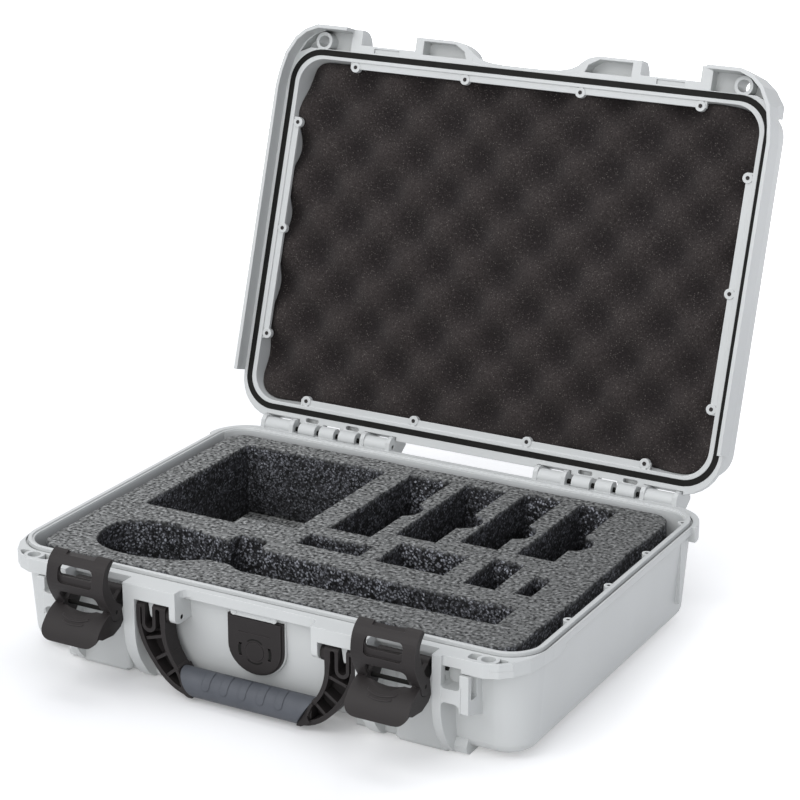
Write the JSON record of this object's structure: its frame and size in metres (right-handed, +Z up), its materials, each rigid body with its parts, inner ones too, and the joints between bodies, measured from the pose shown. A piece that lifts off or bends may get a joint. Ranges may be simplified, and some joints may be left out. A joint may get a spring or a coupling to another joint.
{
  "type": "microphone case",
  "caption": "Hard case with hinged lid, lever latches, folding handle, pressure valve and speckled foam cut to hold a handheld microphone and flat packs; shown open.",
  "frame": {"origin": "centre of the stacking panel under the base, in the plane of its feet", "axes": "+X to the right seen from the front, +Y back to the hinge, +Z up; the lid is stored open"},
  "size_m": [0.354, 0.4194, 0.3285],
  "materials": {
    "grey_shell": "light silver-grey moulded resin, fine satin texture",
    "charcoal_plastic": "charcoal moulded nylon, satin",
    "slate_grip": "slate-grey soft-touch overmould",
    "black_seal": "black O-ring cord",
    "speckled_foam": "grey closed-cell foam with light and dark specks",
    "dark_foam": "charcoal open-cell convoluted foam",
    "steel_pin": "drawn steel pin"
  },
  "bodies": {
    "base": {"base_shell": "grey_shell", "base_foam": "speckled_foam", "base_foam_pad": "speckled_foam", "hinge_pin_left": "steel_pin", "hinge_pin_right": "steel_pin", "lever_pin_left": "steel_pin", "lever_pin_right": "steel_pin", "handle_pin_left": "steel_pin", "handle_pin_right": "steel_pin", "valve_body": "charcoal_plastic", "valve_cap": "charcoal_plastic", "valve_seal": "black_seal"},
    "lid": {"lid_shell": "grey_shell", "lid_seal": "black_seal", "lid_foam": "dark_foam"},
    "lever_left": {"latch_lever_left": "charcoal_plastic", "claw_pin_left": "steel_pin"},
    "claw_left": {"latch_claw_left": "charcoal_plastic"},
    "lever_right": {"latch_lever_right": "charcoal_plastic", "claw_pin_right": "steel_pin"},
    "claw_right": {"latch_claw_right": "charcoal_plastic"},
    "handle": {"handle_frame": "charcoal_plastic", "handle_grip": "slate_grip"}
  },
  "joints": [
    {"name": "lid_hinge", "type": "hinge", "parent": "base", "child": "lid", "pos_m": [0, 0.133, 0.067], "axis": [1, 0, 0], "range_deg": [0, 107.7]},
    {"name": "lever_left", "type": "hinge", "parent": "base", "child": "lever_left", "pos_m": [-0.101, -0.1314, 0.057], "axis": [1, 0, 0], "range_deg": [0, 52]},
    {"name": "claw_left", "type": "hinge", "parent": "lever_left", "child": "claw_left", "pos_m": [-0.101, -0.144, 0.0495], "axis": [1, 0, 0], "range_deg": [-70.2, 0]},
    {"name": "lever_right", "type": "hinge", "parent": "base", "child": "lever_right", "pos_m": [0.101, -0.1314, 0.057], "axis": [1, 0, 0], "range_deg": [0, 52]},
    {"name": "claw_right", "type": "hinge", "parent": "lever_right", "child": "claw_right", "pos_m": [0.101, -0.144, 0.0495], "axis": [1, 0, 0], "range_deg": [-70.2, 0]},
    {"name": "handle_swing", "type": "hinge", "parent": "base", "child": "handle", "pos_m": [0, -0.1309, 0.0495], "axis": [-1, 0, 0], "range_deg": [0, 95]}
  ],
  "couplings": [
    {"joint": "claw_left", "follows": "lever_left", "ratio": -1.3423},
    {"joint": "claw_right", "follows": "lever_right", "ratio": -1.3423}
  ]
}
